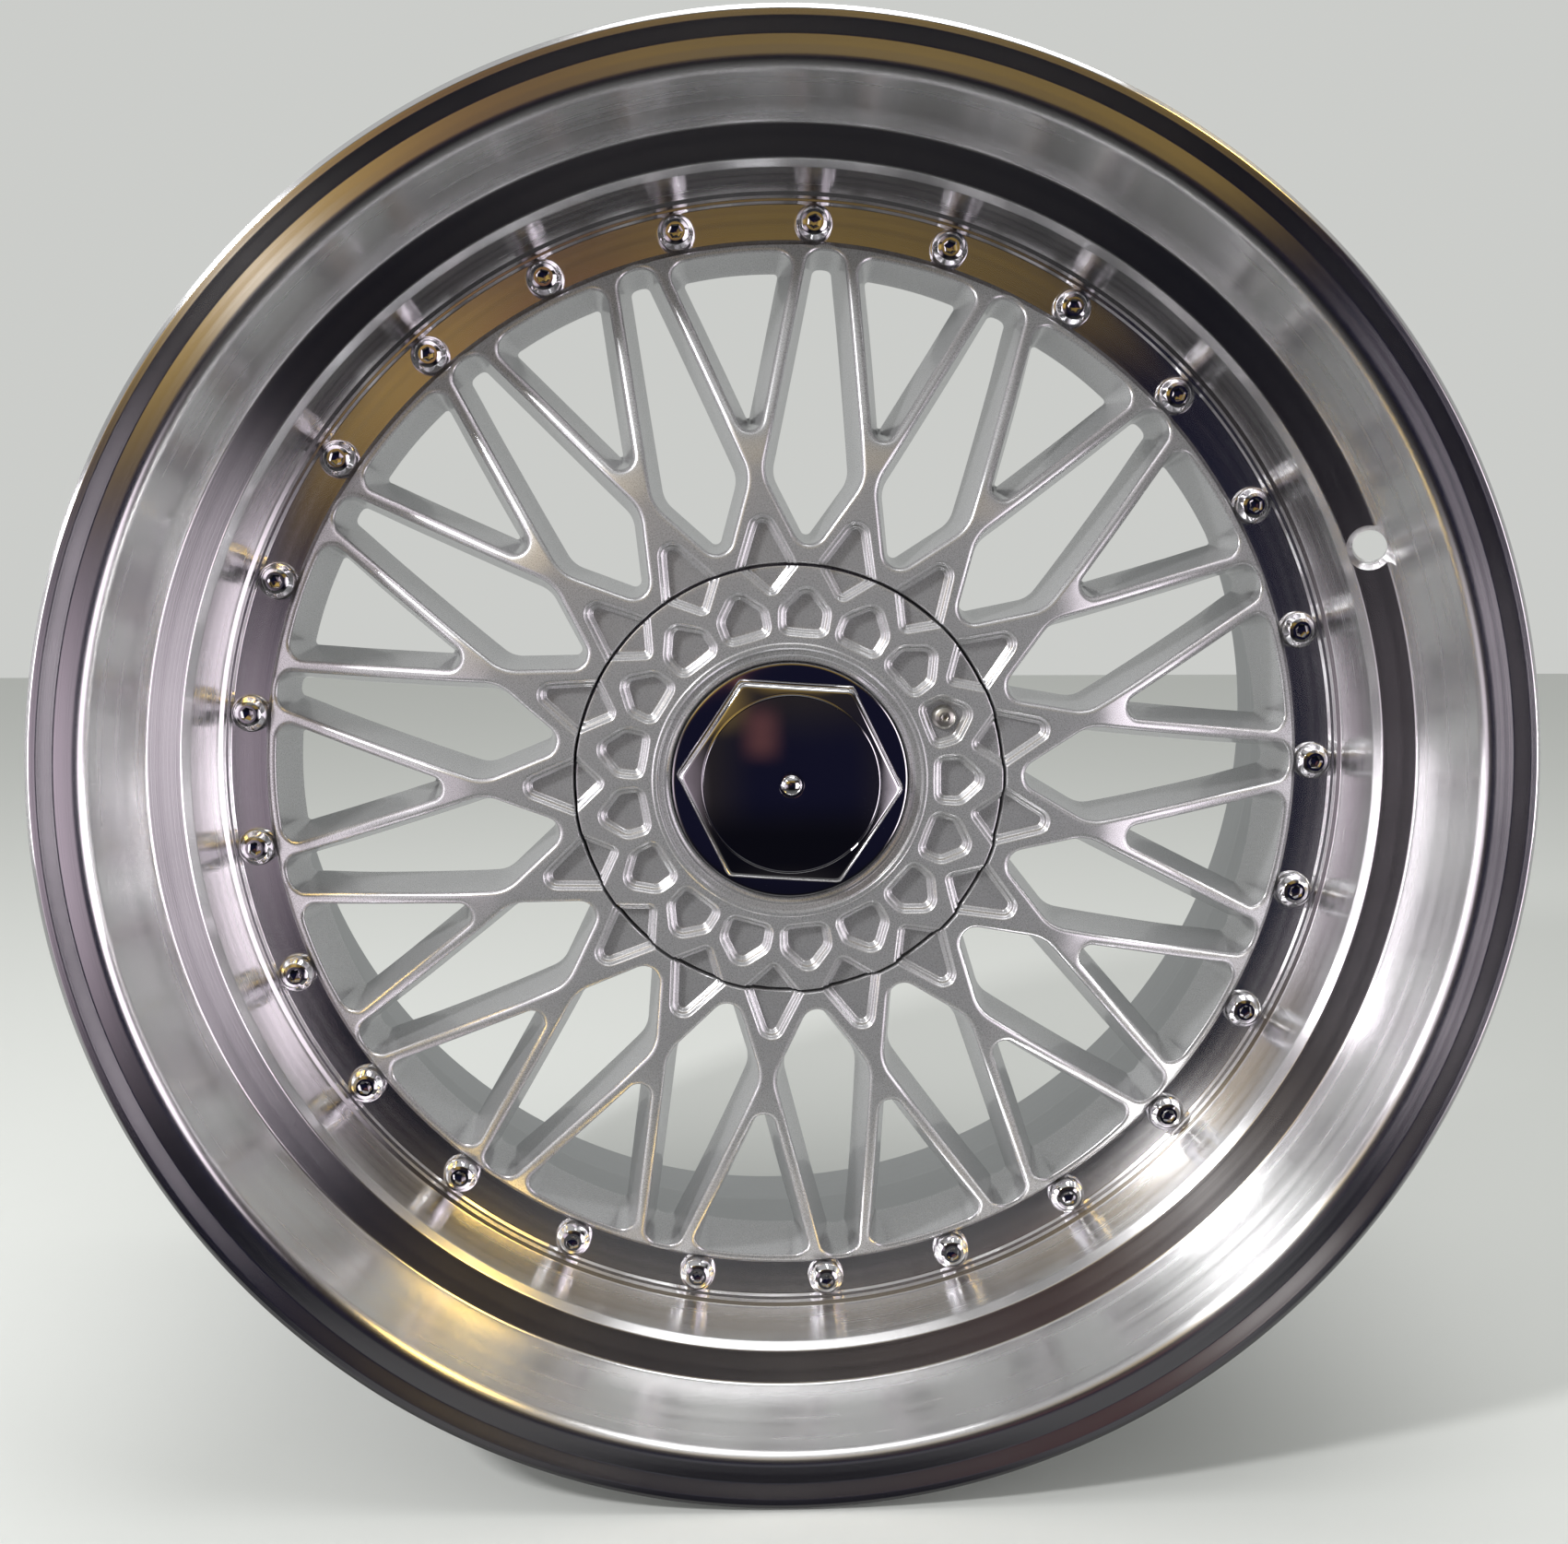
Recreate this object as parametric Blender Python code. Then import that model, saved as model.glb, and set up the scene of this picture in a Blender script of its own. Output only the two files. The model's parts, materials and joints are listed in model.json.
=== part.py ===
"""Three-piece forged racing wheel rim, 18 x 9.5 inch, with a 17-fold mesh centre.

The wheel spins about +Y with +Z up, and its outside face looks along -Y. The origin is on the
axis, half way between the two rim flanges. Lengths are written in millimetres and scaled by MM.
A depth is counted from the front plane of the outer lip, growing towards the car.
"""
import math

import bmesh
import bpy
from mathutils import Matrix, Vector

MM = 0.001

# Driving dimensions, in millimetres and degrees.
FLANGE_R = 248.5            # outside radius of both rim flanges
BEAD_SEAT_R = 231.0         # 18 inch bead seat
RIM_WIDTH = 264.3           # over both flanges
LIP_JOINT_DEPTH = 77.5      # back of the outer lip's bolting flange
LIP_FLANGE = 6.0            # thickness of that flange
DISC_FLANGE = 8.2
BARREL_FLANGE = 6.7
GAP = 0.3                   # between pieces that touch on the real wheel
WELL_R = 214.0              # outside of the drop well
BOLT_CIRCLE_R = 194.8
BOLT_COUNT = 25
BOLT_PHASE = 0.8
BOLT_HOLE_R = 4.4
SHANK_R = 3.5
SPOKE_COUNT = 17
FORK_PHASE = 11.6           # direction of the first triangular opening
PLATE_PHASE = 10.9          # the cap plate sits a little turned against the disc
PAD_DEPTH = 107.15          # hub mounting face, offset 25 mm outboard of the middle
PAD_R = 75.0
CENTRE_BORE_R = 36.55
LUG_CIRCLE_R = 57.15
LUG_COUNT = 5
LUG_PHASE = 58.0
LUG_HOLE_R = 7.5
LUG_SEAT_R = 11.5
CAVITY_R = 71.0             # room for the wheel nuts, under the cap plate
CAVITY_DEPTH = 88.0
PLATE_R = 75.1
PLATE_SEAT_DEPTH = 50.0
PLATE_FACE_DEPTH = 39.4
PLATE_BORE_R = 41.9
POCKET_DEPTH = 4.5
SCREW_R = 58.5
SCREW_ANGLE = 22.0
SCREW_PILLAR_R = 6.0
HEX_ACROSS_FLATS = 68.0
HEX_PHASE = -3.7
VALVE_DEPTH = 41.1
VALVE_R = 217.9
VALVE_ANGLE = 21.8
VALVE_HOLE_R = 5.85
RIM_SEGMENTS = 48
DISC_SEGMENTS = 2 * SPOKE_COUNT

PITCH = 360.0 / SPOKE_COUNT
DISC_FLANGE_FRONT = LIP_JOINT_DEPTH + GAP
DISC_FLANGE_BACK = DISC_FLANGE_FRONT + DISC_FLANGE
BARREL_FLANGE_FRONT = DISC_FLANGE_BACK + GAP
BARREL_FLANGE_BACK = BARREL_FLANGE_FRONT + BARREL_FLANGE

# Surfaces of the disc as (radius, depth), from the hub outwards.
DISC_FACE = [(75.6, 39.0), (112.0, 39.5), (136.0, 46.9), (160.0, 56.0), (186.2, 68.3)]
DISC_BACK = [(80.0, 66.0), (112.0, 65.0), (160.0, 81.0), (180.0, 92.0), (187.3, 93.0)]


def clear_scene():
    for old in list(bpy.data.objects):
        bpy.data.objects.remove(old, do_unlink=True)


def make_material(name, colour, metallic, roughness):
    material = bpy.data.materials.new(name)
    material.use_nodes = True
    shader = material.node_tree.nodes["Principled BSDF"]
    shader.inputs["Base Color"].default_value = (*colour, 1.0)
    shader.inputs["Metallic"].default_value = metallic
    shader.inputs["Roughness"].default_value = roughness
    material.diffuse_color = (*colour, 1.0)
    return material


def wheel_point(radius, depth, angle):
    """The point at a radius, a depth behind the lip and an angle from +X towards +Z."""
    turn = math.radians(angle)
    y = depth - RIM_WIDTH / 2
    return Vector((radius * math.cos(turn), y, radius * math.sin(turn))) * MM


def depth_on(surface, radius):
    """Depth of a (radius, depth) surface at a radius, straight between its points."""
    if radius <= surface[0][0]:
        return surface[0][1]
    for (r0, d0), (r1, d1) in zip(surface, surface[1:]):
        if radius <= r1:
            return d0 + (d1 - d0) * (radius - r0) / (r1 - r0)
    return surface[-1][1]


def finish_mesh(bm, name):
    bmesh.ops.recalc_face_normals(bm, faces=bm.faces)
    mesh = bpy.data.meshes.new(name)
    bm.to_mesh(mesh)
    bm.free()
    mesh.shade_smooth()
    mesh.set_sharp_from_angle(angle=math.radians(30))
    return mesh


def lathe(name, profile, segments, phase=0.0):
    """Spin a closed (radius, depth) profile about the wheel's axis."""
    bm = bmesh.new()
    ring = [bm.verts.new(wheel_point(radius, depth, phase)) for radius, depth in profile]
    edges = [bm.edges.new((a, b)) for a, b in zip(ring, ring[1:] + ring[:1])]
    bmesh.ops.spin(bm, geom=ring + edges, cent=(0, 0, 0), axis=(0, 1, 0), angle=math.tau,
                   steps=segments, use_merge=True)
    bmesh.ops.remove_doubles(bm, verts=bm.verts, dist=0.00001)
    return finish_mesh(bm, name)


def solid_lathe(name, profile, segments, phase=0.0):
    """Spin an open profile whose two ends lie on the axis."""
    bm = bmesh.new()
    line = [bm.verts.new(wheel_point(radius, depth, phase)) for radius, depth in profile]
    edges = [bm.edges.new(pair) for pair in zip(line, line[1:])]
    bmesh.ops.spin(bm, geom=line + edges, cent=(0, 0, 0), axis=(0, 1, 0), angle=math.tau,
                   steps=segments, use_merge=True)
    bmesh.ops.remove_doubles(bm, verts=bm.verts, dist=0.00001)
    return finish_mesh(bm, name)


def moved(mesh, radius, angle):
    """Carry a mesh that was built on the wheel's axis out to a radius and an angle."""
    turn = math.radians(angle)
    mesh.transform(Matrix.Translation((radius * MM * math.cos(turn), 0, radius * MM * math.sin(turn))))
    return mesh


def merged(name, meshes):
    bm = bmesh.new()
    for mesh in meshes:
        bm.from_mesh(mesh)
        bpy.data.meshes.remove(mesh)
    return finish_mesh(bm, name)


def rounded(corners, radii, steps):
    """Round a polygon's corners. Points are (across, outwards)."""
    outline = []
    for index, (corner, radius) in enumerate(zip(corners, radii)):
        here = Vector(corner)
        back = (Vector(corners[index - 1]) - here).normalized()
        ahead = (Vector(corners[(index + 1) % len(corners)]) - here).normalized()
        half = back.angle(ahead) / 2
        centre = here + (back + ahead).normalized() * radius / math.sin(half)
        start = here + back * radius / math.tan(half) - centre
        end = here + ahead * radius / math.tan(half) - centre
        sweep = start.angle_signed(end)
        for step in range(steps + 1):
            outline.append(centre + Matrix.Rotation(-sweep * step / steps, 2) @ start)
    return outline


def shrunk(corners, distance):
    """Move every side of a polygon inwards. The corners run anticlockwise."""
    moved_in = []
    for index, corner in enumerate(corners):
        here = Vector(corner)
        before = (here - Vector(corners[index - 1])).normalized()
        after = (Vector(corners[(index + 1) % len(corners)]) - here).normalized()
        inwards = Vector((-before.y - after.y, before.x + after.x)).normalized()
        moved_in.append(here + inwards * distance / math.cos(before.angle(after) / 2))
    return moved_in


def drafted_pair(corners, radii, distance, steps):
    """A rounded outline and the smaller one that its walls taper to."""
    small_radii = [max(radius - distance, 1.4) for radius in radii]
    return rounded(corners, radii, steps), rounded(shrunk(corners, distance), small_radii, steps)


def placed(outline, axis_angle, depth):
    """Stand an outline on the wheel, pointing outwards along axis_angle."""
    points = []
    for across, outwards in outline:
        radius = math.hypot(across, outwards)
        angle = axis_angle - math.degrees(math.atan2(across, outwards))
        level = depth_on(depth, radius) if isinstance(depth, list) else depth
        points.append(wheel_point(radius, level, angle))
    return points


def add_loft(bm, loops):
    """Join a stack of matching closed loops into one closed solid."""
    rings = [[bm.verts.new(point) for point in loop] for loop in loops]
    for ring, following in zip(rings, rings[1:]):
        for index in range(len(ring)):
            other = (index + 1) % len(ring)
            bm.faces.new((ring[index], ring[other], following[other], following[index]))
    bm.faces.new(rings[0])
    bm.faces.new(rings[-1])


def pattern_cutter(name, outlines, levels, phase):
    """A cutter of one loft for each spoke, through matching outlines and levels."""
    bm = bmesh.new()
    for index in range(SPOKE_COUNT):
        angle = phase + index * PITCH
        add_loft(bm, [placed(outline, angle, level) for outline, level in zip(outlines, levels)])
    bmesh.ops.triangulate(bm, faces=bm.faces)
    return finish_mesh(bm, name)


def circle_of_holes(name, radius, hole_r, count, phase, front, back, segments):
    profile = [(0, front), (hole_r, front), (hole_r, back), (0, back)]
    holes = []
    for index in range(count):
        hole = solid_lathe(name, profile, segments)
        holes.append(moved(hole, radius, phase + index * 360 / count))
    return merged(name, holes)


def add_object(name, mesh, material, parent=None, at=None):
    """Link a mesh as a named piece, moving its origin to `at` (a point on its joint axis)."""
    piece = bpy.data.objects.new(name, mesh)
    bpy.context.scene.collection.objects.link(piece)
    if not mesh.materials:
        mesh.materials.append(material)
    origin = Vector((0, 0, 0)) if at is None else at
    if at is not None:
        mesh.transform(Matrix.Translation(-origin))
        piece.location = origin
    if parent is not None:
        bpy.context.view_layer.update()
        piece.parent = parent
        piece.matrix_parent_inverse = parent.matrix_world.inverted()
    return piece


def cut(piece, name, mesh, operation="DIFFERENCE"):
    """Take a cutter out of a piece, or add it, with an exact boolean."""
    tool = bpy.data.objects.new(name, mesh)
    bpy.context.scene.collection.objects.link(tool)
    tool.hide_render = True
    tool.display_type = "WIRE"
    modifier = piece.modifiers.new(name, "BOOLEAN")
    modifier.operation = operation
    modifier.solver = "EXACT"
    modifier.object = tool


def build_outer_lip(material):
    seat_front = 15.0
    seat_back = 31.0
    profile = [
        (188.0, 72.5), (189.0, 71.5), (201.1, 71.5), (205.6, 68.0), (209.2, 47.0),
        (210.9, 44.0), (222.8, 39.0), (227.3, 13.0), (229.0, 5.5), (232.0, 2.6),
        (238.8, 1.0), (242.0, 0.0), (244.7, 0.0), (FLANGE_R, 2.7), (FLANGE_R, 8.5),
        (245.5, 11.5), (236.0, 12.5), (BEAD_SEAT_R + 0.4, seat_front),
        (BEAD_SEAT_R - 1.0, seat_back), (BEAD_SEAT_R + 0.6, 35.0), (BEAD_SEAT_R - 2.0, 43.5),
        (217.0, 52.0), (WELL_R, 57.0), (WELL_R, LIP_JOINT_DEPTH - 2.5),
        (WELL_R - 2.5, LIP_JOINT_DEPTH), (188.0, LIP_JOINT_DEPTH),
    ]
    lip = add_object("outer_lip", lathe("outer_lip", profile, RIM_SEGMENTS), material)
    holes = circle_of_holes("lip_holes", BOLT_CIRCLE_R, BOLT_HOLE_R, BOLT_COUNT, BOLT_PHASE,
                            60.0, 90.0, 6)
    cut(lip, "lip_holes", holes)

    # The valve hole is square to the step face it opens in.
    hole = solid_lathe("valve_hole", [(0, -12), (VALVE_HOLE_R, -12), (VALVE_HOLE_R, 20), (0, 20)], 12)
    hole.transform(Matrix.Translation((0, RIM_WIDTH / 2 * MM, 0)))
    step_slope = math.atan2(44.0 - 39.0, 222.8 - 210.9)
    hole.transform(Matrix.Rotation(-step_slope, 4, "Z"))
    hole.transform(Matrix.Translation(wheel_point(VALVE_R, VALVE_DEPTH, 0)))
    hole.transform(Matrix.Rotation(-math.radians(VALVE_ANGLE), 4, "Y"))
    cut(lip, "valve_hole", hole)
    return lip


def build_inner_barrel(material):
    spigot_r = 203.2
    inside_r = 208.5
    profile = [
        (188.5, BARREL_FLANGE_FRONT), (spigot_r, BARREL_FLANGE_FRONT),
        (spigot_r, DISC_FLANGE_FRONT), (WELL_R - 2.5, DISC_FLANGE_FRONT),
        (WELL_R, DISC_FLANGE_FRONT + 2.5), (WELL_R, 186.0), (229.0, 205.5),
        (BEAD_SEAT_R + 0.6, 210.0), (BEAD_SEAT_R - 1.0, 216.0), (BEAD_SEAT_R + 0.4, 248.5),
        (236.0, 251.5), (245.5, 252.5), (FLANGE_R, 255.5), (FLANGE_R, 262.0),
        (246.2, RIM_WIDTH), (234.0, RIM_WIDTH), (223.0, 259.0), (222.8, 214.0),
        (inside_r, 190.0), (inside_r, BARREL_FLANGE_BACK + 3.0),
        (spigot_r, BARREL_FLANGE_BACK), (188.5, BARREL_FLANGE_BACK),
    ]
    barrel = add_object("inner_barrel", lathe("inner_barrel", profile, RIM_SEGMENTS), material)
    holes = circle_of_holes("barrel_holes", BOLT_CIRCLE_R, BOLT_HOLE_R, BOLT_COUNT, BOLT_PHASE,
                            80.0, 100.0, 6)
    cut(barrel, "barrel_holes", holes)
    return barrel


def build_seal(material):
    """The bead of sealant in the V between lip and barrel, on the tyre side."""
    middle = LIP_JOINT_DEPTH + GAP / 2
    profile = [(WELL_R - 2.2, middle), (WELL_R, middle - 2.0), (WELL_R, middle + 2.0)]
    return add_object("joint_seal", lathe("joint_seal", profile, RIM_SEGMENTS), material)


def kite_pair():
    corners = [(6.3, 185.2), (-6.3, 185.2), (-17.1, 105.3), (0.0, 77.6), (17.1, 105.3)]
    return drafted_pair(corners, [5.6, 5.6, 14.0, 5.5, 14.0], 3.4, 2)


def fork_pair():
    corners = [(23.6, 184.3), (-23.6, 184.3), (0.0, 112.3)]
    return drafted_pair(corners, [5.6, 5.6, 4.2], 4.2, 2)


def build_centre_disc(material):
    profile = [
        (CENTRE_BORE_R, CAVITY_DEPTH), (CAVITY_R, CAVITY_DEPTH), (CAVITY_R, PLATE_SEAT_DEPTH),
        (75.6, PLATE_SEAT_DEPTH), *DISC_FACE, (187.3, 69.6), (187.3, DISC_FLANGE_FRONT),
        (202.6, DISC_FLANGE_FRONT), (202.6, DISC_FLANGE_BACK), (187.3, DISC_FLANGE_BACK),
        *reversed(DISC_BACK), (80.0, 102.0), (PAD_R, PAD_DEPTH), (CENTRE_BORE_R, PAD_DEPTH),
    ]
    disc = add_object("centre_disc", lathe("centre_disc", profile, DISC_SEGMENTS), material)
    front = 25.0
    levels = [front, DISC_FACE, DISC_BACK, 115.0]
    for name, pair, phase in (
        ("kite_openings", kite_pair(), FORK_PHASE + PITCH / 2),
        ("fork_openings", fork_pair(), FORK_PHASE),
    ):
        wide, narrow = pair
        cut(disc, name, pattern_cutter(name, [wide, wide, narrow, narrow], levels, phase))

    rim = rounded([(0.0, 101.5), (-12.4, 72.0), (12.4, 72.0)], [5.2, 0.2, 0.2], 1)
    floor = rounded([(0.0, 95.5), (-8.8, 72.0), (8.8, 72.0)], [3.1, 0.2, 0.2], 1)
    face = DISC_FACE[0][1] + 0.1
    pockets = pattern_cutter("hub_pockets", [rim, rim, floor], [front, face, face + POCKET_DEPTH], FORK_PHASE)
    cut(disc, "hub_pockets", pockets)

    holes = circle_of_holes("disc_holes", BOLT_CIRCLE_R, BOLT_HOLE_R, BOLT_COUNT, BOLT_PHASE,
                            70.0, 100.0, 6)
    cut(disc, "disc_holes", holes)

    # Wheel nut holes with conical seats.
    profile = [(0, 80), (LUG_SEAT_R, 80), (LUG_SEAT_R, CAVITY_DEPTH), (LUG_HOLE_R, 92), (LUG_HOLE_R, 115),
               (0, 115)]
    lugs = [moved(solid_lathe("lug", profile, 8, 22.5), LUG_CIRCLE_R, LUG_PHASE + 72 * index)
            for index in range(LUG_COUNT)]
    cut(disc, "lug_holes", merged("lug_holes", lugs))

    # The pillar that takes the cap plate's screw.
    profile = [(2.4, PLATE_SEAT_DEPTH), (SCREW_PILLAR_R, PLATE_SEAT_DEPTH), (SCREW_PILLAR_R, 92.0),
               (2.4, 92.0)]
    pillar = moved(lathe("screw_pillar", profile, 8), SCREW_R, SCREW_ANGLE)
    cut(disc, "screw_pillar", pillar, "UNION")
    return disc


def build_cap_plate(material, parent):
    back = PLATE_SEAT_DEPTH - GAP
    step = PLATE_FACE_DEPTH + 2.2
    ledge = 47.2
    profile = [
        (PLATE_BORE_R, step + 1.0), (43.2, step), (45.4, step), (47.0, PLATE_FACE_DEPTH),
        (PLATE_R - 0.5, PLATE_FACE_DEPTH), (PLATE_R, PLATE_FACE_DEPTH + 0.5), (PLATE_R, back),
        (34.6, back), (34.6, ledge), (PLATE_BORE_R, ledge),
    ]
    plate = add_object("cap_plate", lathe("cap_plate", profile, DISC_SEGMENTS), material, parent,
                       Vector((0, 0, 0)))
    front = 25.0
    face = PLATE_FACE_DEPTH + 0.1
    floor_level = face + POCKET_DEPTH

    rim = rounded([(0.0, 62.9), (12.4, 76.5), (-12.4, 76.5)], [3.5, 0.2, 0.2], 1)
    floor = rounded([(0.0, 65.8), (9.9, 76.5), (-9.9, 76.5)], [2.0, 0.2, 0.2], 1)
    notches = pattern_cutter("edge_pockets", [rim, rim, floor], [front, face, floor_level], PLATE_PHASE)
    cut(plate, "edge_pockets", notches)

    shield = [(9.0, 50.2), (9.8, 60.5), (0.0, 71.5), (-9.8, 60.5), (-9.0, 50.2)]
    rim, floor = drafted_pair(shield, [4.5, 6.0, 5.5, 6.0, 4.5], 2.7, 1)
    pockets = pattern_cutter("shield_pockets", [rim, rim, floor], [front, face, floor_level],
                             PLATE_PHASE + PITCH / 2)
    cut(plate, "shield_pockets", pockets)

    hole = circle_of_holes("plate_screw_hole", SCREW_R, 2.9, 1, SCREW_ANGLE, 30.0, 60.0, 8)
    cut(plate, "plate_screw_hole", hole)
    return plate


def build_cap_screw(material, parent):
    seat = PLATE_FACE_DEPTH + POCKET_DEPTH + 0.1
    head = seat - GAP
    profile = [
        (0, head - 0.8), (1.5, head - 0.8), (1.5, head - 2.6), (2.4, head - 2.6), (4.3, head - 0.9),
        (4.3, head), (2.0, head), (2.0, head + 24.0), (0, head + 24.0),
    ]
    mesh = moved(solid_lathe("cap_screw", profile, 8), SCREW_R, SCREW_ANGLE)
    return add_object("cap_screw", mesh, material, parent, wheel_point(SCREW_R, head, SCREW_ANGLE))


def build_cap_carrier(material):
    """Threaded collar in the centre bore that the hex cap screws into."""
    seat = CAVITY_DEPTH - GAP
    profile = [
        (30.0, 62.0), (34.0, 62.0), (34.0, seat - 3.0), (42.5, seat - 3.0), (42.5, seat),
        (CENTRE_BORE_R - GAP, seat), (CENTRE_BORE_R - GAP, seat + 5.0), (30.0, seat + 5.0),
    ]
    return add_object("cap_carrier", lathe("cap_carrier", profile, 24), material)


def build_hex_cap(material, parent):
    """Chrome cap: a domed hexagon on a round flange, with a threaded spigot behind it."""
    flange_front = 40.6
    flange_back = 43.4
    profile = [
        (0, flange_front + 8.0), (25.0, flange_front + 8.0), (25.0, 76.0), (29.2, 76.0),
        (29.2, flange_back), (41.3, flange_back), (41.3, flange_front), (0, flange_front),
    ]
    cap = add_object("hex_cap", solid_lathe("hex_cap", profile, 24), material, parent, Vector((0, 0, 0)))
    corner = HEX_ACROSS_FLATS / math.sqrt(3)
    root = flange_front + 1.5
    hexagon = solid_lathe("cap_hexagon", [(0, 31.0), (corner - 1.0, 32.0), (corner, 33.5), (corner, root), (0, root)],
                          6, HEX_PHASE)
    cut(cap, "cap_hexagon", hexagon, "UNION")
    dome = solid_lathe("cap_dome", [(0, 26.8), (12.0, 27.4), (24.0, 29.3), (31.0, 31.6), (31.0, root), (0, root)],
                       24)
    cut(cap, "cap_dome", dome, "UNION")
    socket = solid_lathe("cap_stud_socket", [(0, 20.0), (4.5, 20.0), (4.5, 29.2), (0, 29.2)], 8)
    cut(cap, "cap_stud_socket", socket)
    return cap


def build_cap_stud(material, parent):
    profile = [(0, 26.0), (2.6, 26.2), (3.9, 27.0), (3.9, 28.9), (0, 28.9)]
    return add_object("cap_stud", solid_lathe("cap_stud", profile, 8), material, parent, Vector((0, 0, 0)))


def build_cap_ring(material, parent):
    """Rubber ring behind the cap's flange, bedding it on the ledge in the plate's bore."""
    profile = [(36.0, 43.7), (40.4, 43.7), (40.4, 46.9), (36.0, 46.9)]
    return add_object("cap_o_ring", lathe("cap_o_ring", profile, 24), material, parent, Vector((0, 0, 0)))


def build_assembly_bolts(bolt_material, nut_material):
    """Twenty-five bolts clamp lip, disc and barrel. Each bolt and nut is its own piece."""
    seat = LIP_JOINT_DEPTH - LIP_FLANGE - GAP
    profile = [
        (0, seat - 2.2), (2.7, seat - 2.2), (2.7, seat - 5.0), (5.2, seat - 4.0), (6.7, seat - 1.2),
        (6.0, seat), (SHANK_R, seat), (SHANK_R, 102.0), (0, 102.0),
    ]
    bolt_mesh = solid_lathe("assembly_bolt", profile, 6)
    bolt_mesh.materials.append(bolt_material)
    nut_front = BARREL_FLANGE_BACK + GAP
    nut_profile = [(4.5, nut_front), (6.9, nut_front), (6.9, nut_front + 6.0), (4.5, nut_front + 6.0)]
    nut_mesh = lathe("assembly_nut", nut_profile, 6)
    nut_mesh.materials.append(nut_material)
    for index in range(BOLT_COUNT):
        angle = BOLT_PHASE + index * 360 / BOLT_COUNT
        spot = wheel_point(BOLT_CIRCLE_R, RIM_WIDTH / 2, angle)
        for name, mesh, material in (
            ("assembly_bolt", bolt_mesh, bolt_material),
            ("assembly_nut", nut_mesh, nut_material),
        ):
            piece = add_object(f"{name}_{index + 1:02d}", mesh, material)
            piece.location = spot


def main():
    clear_scene()
    polished = make_material("polished_aluminium", (0.78, 0.77, 0.78), 1.0, 0.16)
    silver = make_material("silver_paint", (0.62, 0.61, 0.63), 0.7, 0.38)
    barrel_paint = make_material("barrel_paint", (0.55, 0.56, 0.57), 0.5, 0.45)
    chrome = make_material("chrome", (0.86, 0.86, 0.88), 1.0, 0.05)
    zinc = make_material("zinc_steel", (0.55, 0.54, 0.5), 1.0, 0.35)
    rubber = make_material("black_rubber", (0.03, 0.03, 0.03), 0.0, 0.7)

    build_outer_lip(polished)
    build_inner_barrel(barrel_paint)
    build_seal(rubber)
    build_centre_disc(silver)
    plate = build_cap_plate(silver, None)
    build_cap_screw(zinc, plate)
    build_cap_carrier(zinc)
    cap = build_hex_cap(chrome, plate)
    build_cap_stud(chrome, cap)
    build_cap_ring(rubber, cap)
    build_assembly_bolts(chrome, zinc)


main()
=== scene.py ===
"""Looks of the three-piece racing wheel rim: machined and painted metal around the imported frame.

Lengths are in millimetres and depths are counted from the front plane of the outer lip, towards
the car, as in the CAD model. Angles run from +X towards +Z, in degrees.
"""

import json
import math

import bmesh
import bpy
from mathutils import Matrix, Vector
from mathutils.geometry import delaunay_2d_cdt


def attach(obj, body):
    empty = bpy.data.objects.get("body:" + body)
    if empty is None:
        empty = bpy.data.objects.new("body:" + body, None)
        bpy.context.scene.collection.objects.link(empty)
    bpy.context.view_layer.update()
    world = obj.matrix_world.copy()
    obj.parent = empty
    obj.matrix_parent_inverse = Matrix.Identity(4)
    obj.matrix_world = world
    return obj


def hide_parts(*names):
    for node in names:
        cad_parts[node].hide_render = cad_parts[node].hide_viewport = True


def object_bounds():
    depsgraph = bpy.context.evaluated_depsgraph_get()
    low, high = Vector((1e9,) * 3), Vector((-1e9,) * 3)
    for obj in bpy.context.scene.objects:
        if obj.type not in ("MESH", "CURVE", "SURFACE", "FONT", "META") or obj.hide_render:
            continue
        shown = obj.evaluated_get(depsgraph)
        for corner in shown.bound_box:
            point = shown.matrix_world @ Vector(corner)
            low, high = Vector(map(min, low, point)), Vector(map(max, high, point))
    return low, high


MM = 0.001
SPOKES = 17
PITCH = 360.0 / SPOKES
HALF = PITCH / 2
FORK_PHASE = 11.6
PLATE_PHASE = 10.9
BOLTS = 25
BOLT_CIRCLE_R = 194.8
BOLT_PHASE = 0.8
BEAD_SEAT_R = 231.0
WELL_R = 214.0
BAND_DEPTH = 71.5           # polished band that the bolt heads sit on
JOINT_DEPTH = 77.5          # where the outer lip meets the barrel and the disc
PLATE_LEVEL = 39.4          # front of the cap plate
DISC_R = 187.3              # outside of the spokes, where the band starts
HUB_BACK_R = 80.0           # outside of the hub behind the spokes
VALVE_R = 217.9
VALVE_DEPTH = 41.1
VALVE_ANGLE = 21.8
VALVE_TILT = 22.8
LUG_CIRCLE_R = 57.15
LUG_PHASE = 58.0
SCREW_R = 58.5
SCREW_ANGLE = 22.0
HEX_PHASE = -3.7

# Front and back surfaces of the spokes, as (radius, depth).
FACE = [(75.6, 39.0), (100.0, 39.0), (112.0, 39.6), (124.0, 42.2), (136.0, 46.6), (148.0, 51.2),
        (160.0, 56.0), (172.0, 61.0), (180.0, 64.6), (DISC_R, 68.4)]
BACK = [(HUB_BACK_R, 66.0), (100.0, 65.2), (112.0, 65.6), (136.0, 71.8), (160.0, 81.0),
        (180.0, 91.6), (DISC_R, 93.0)]

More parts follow.
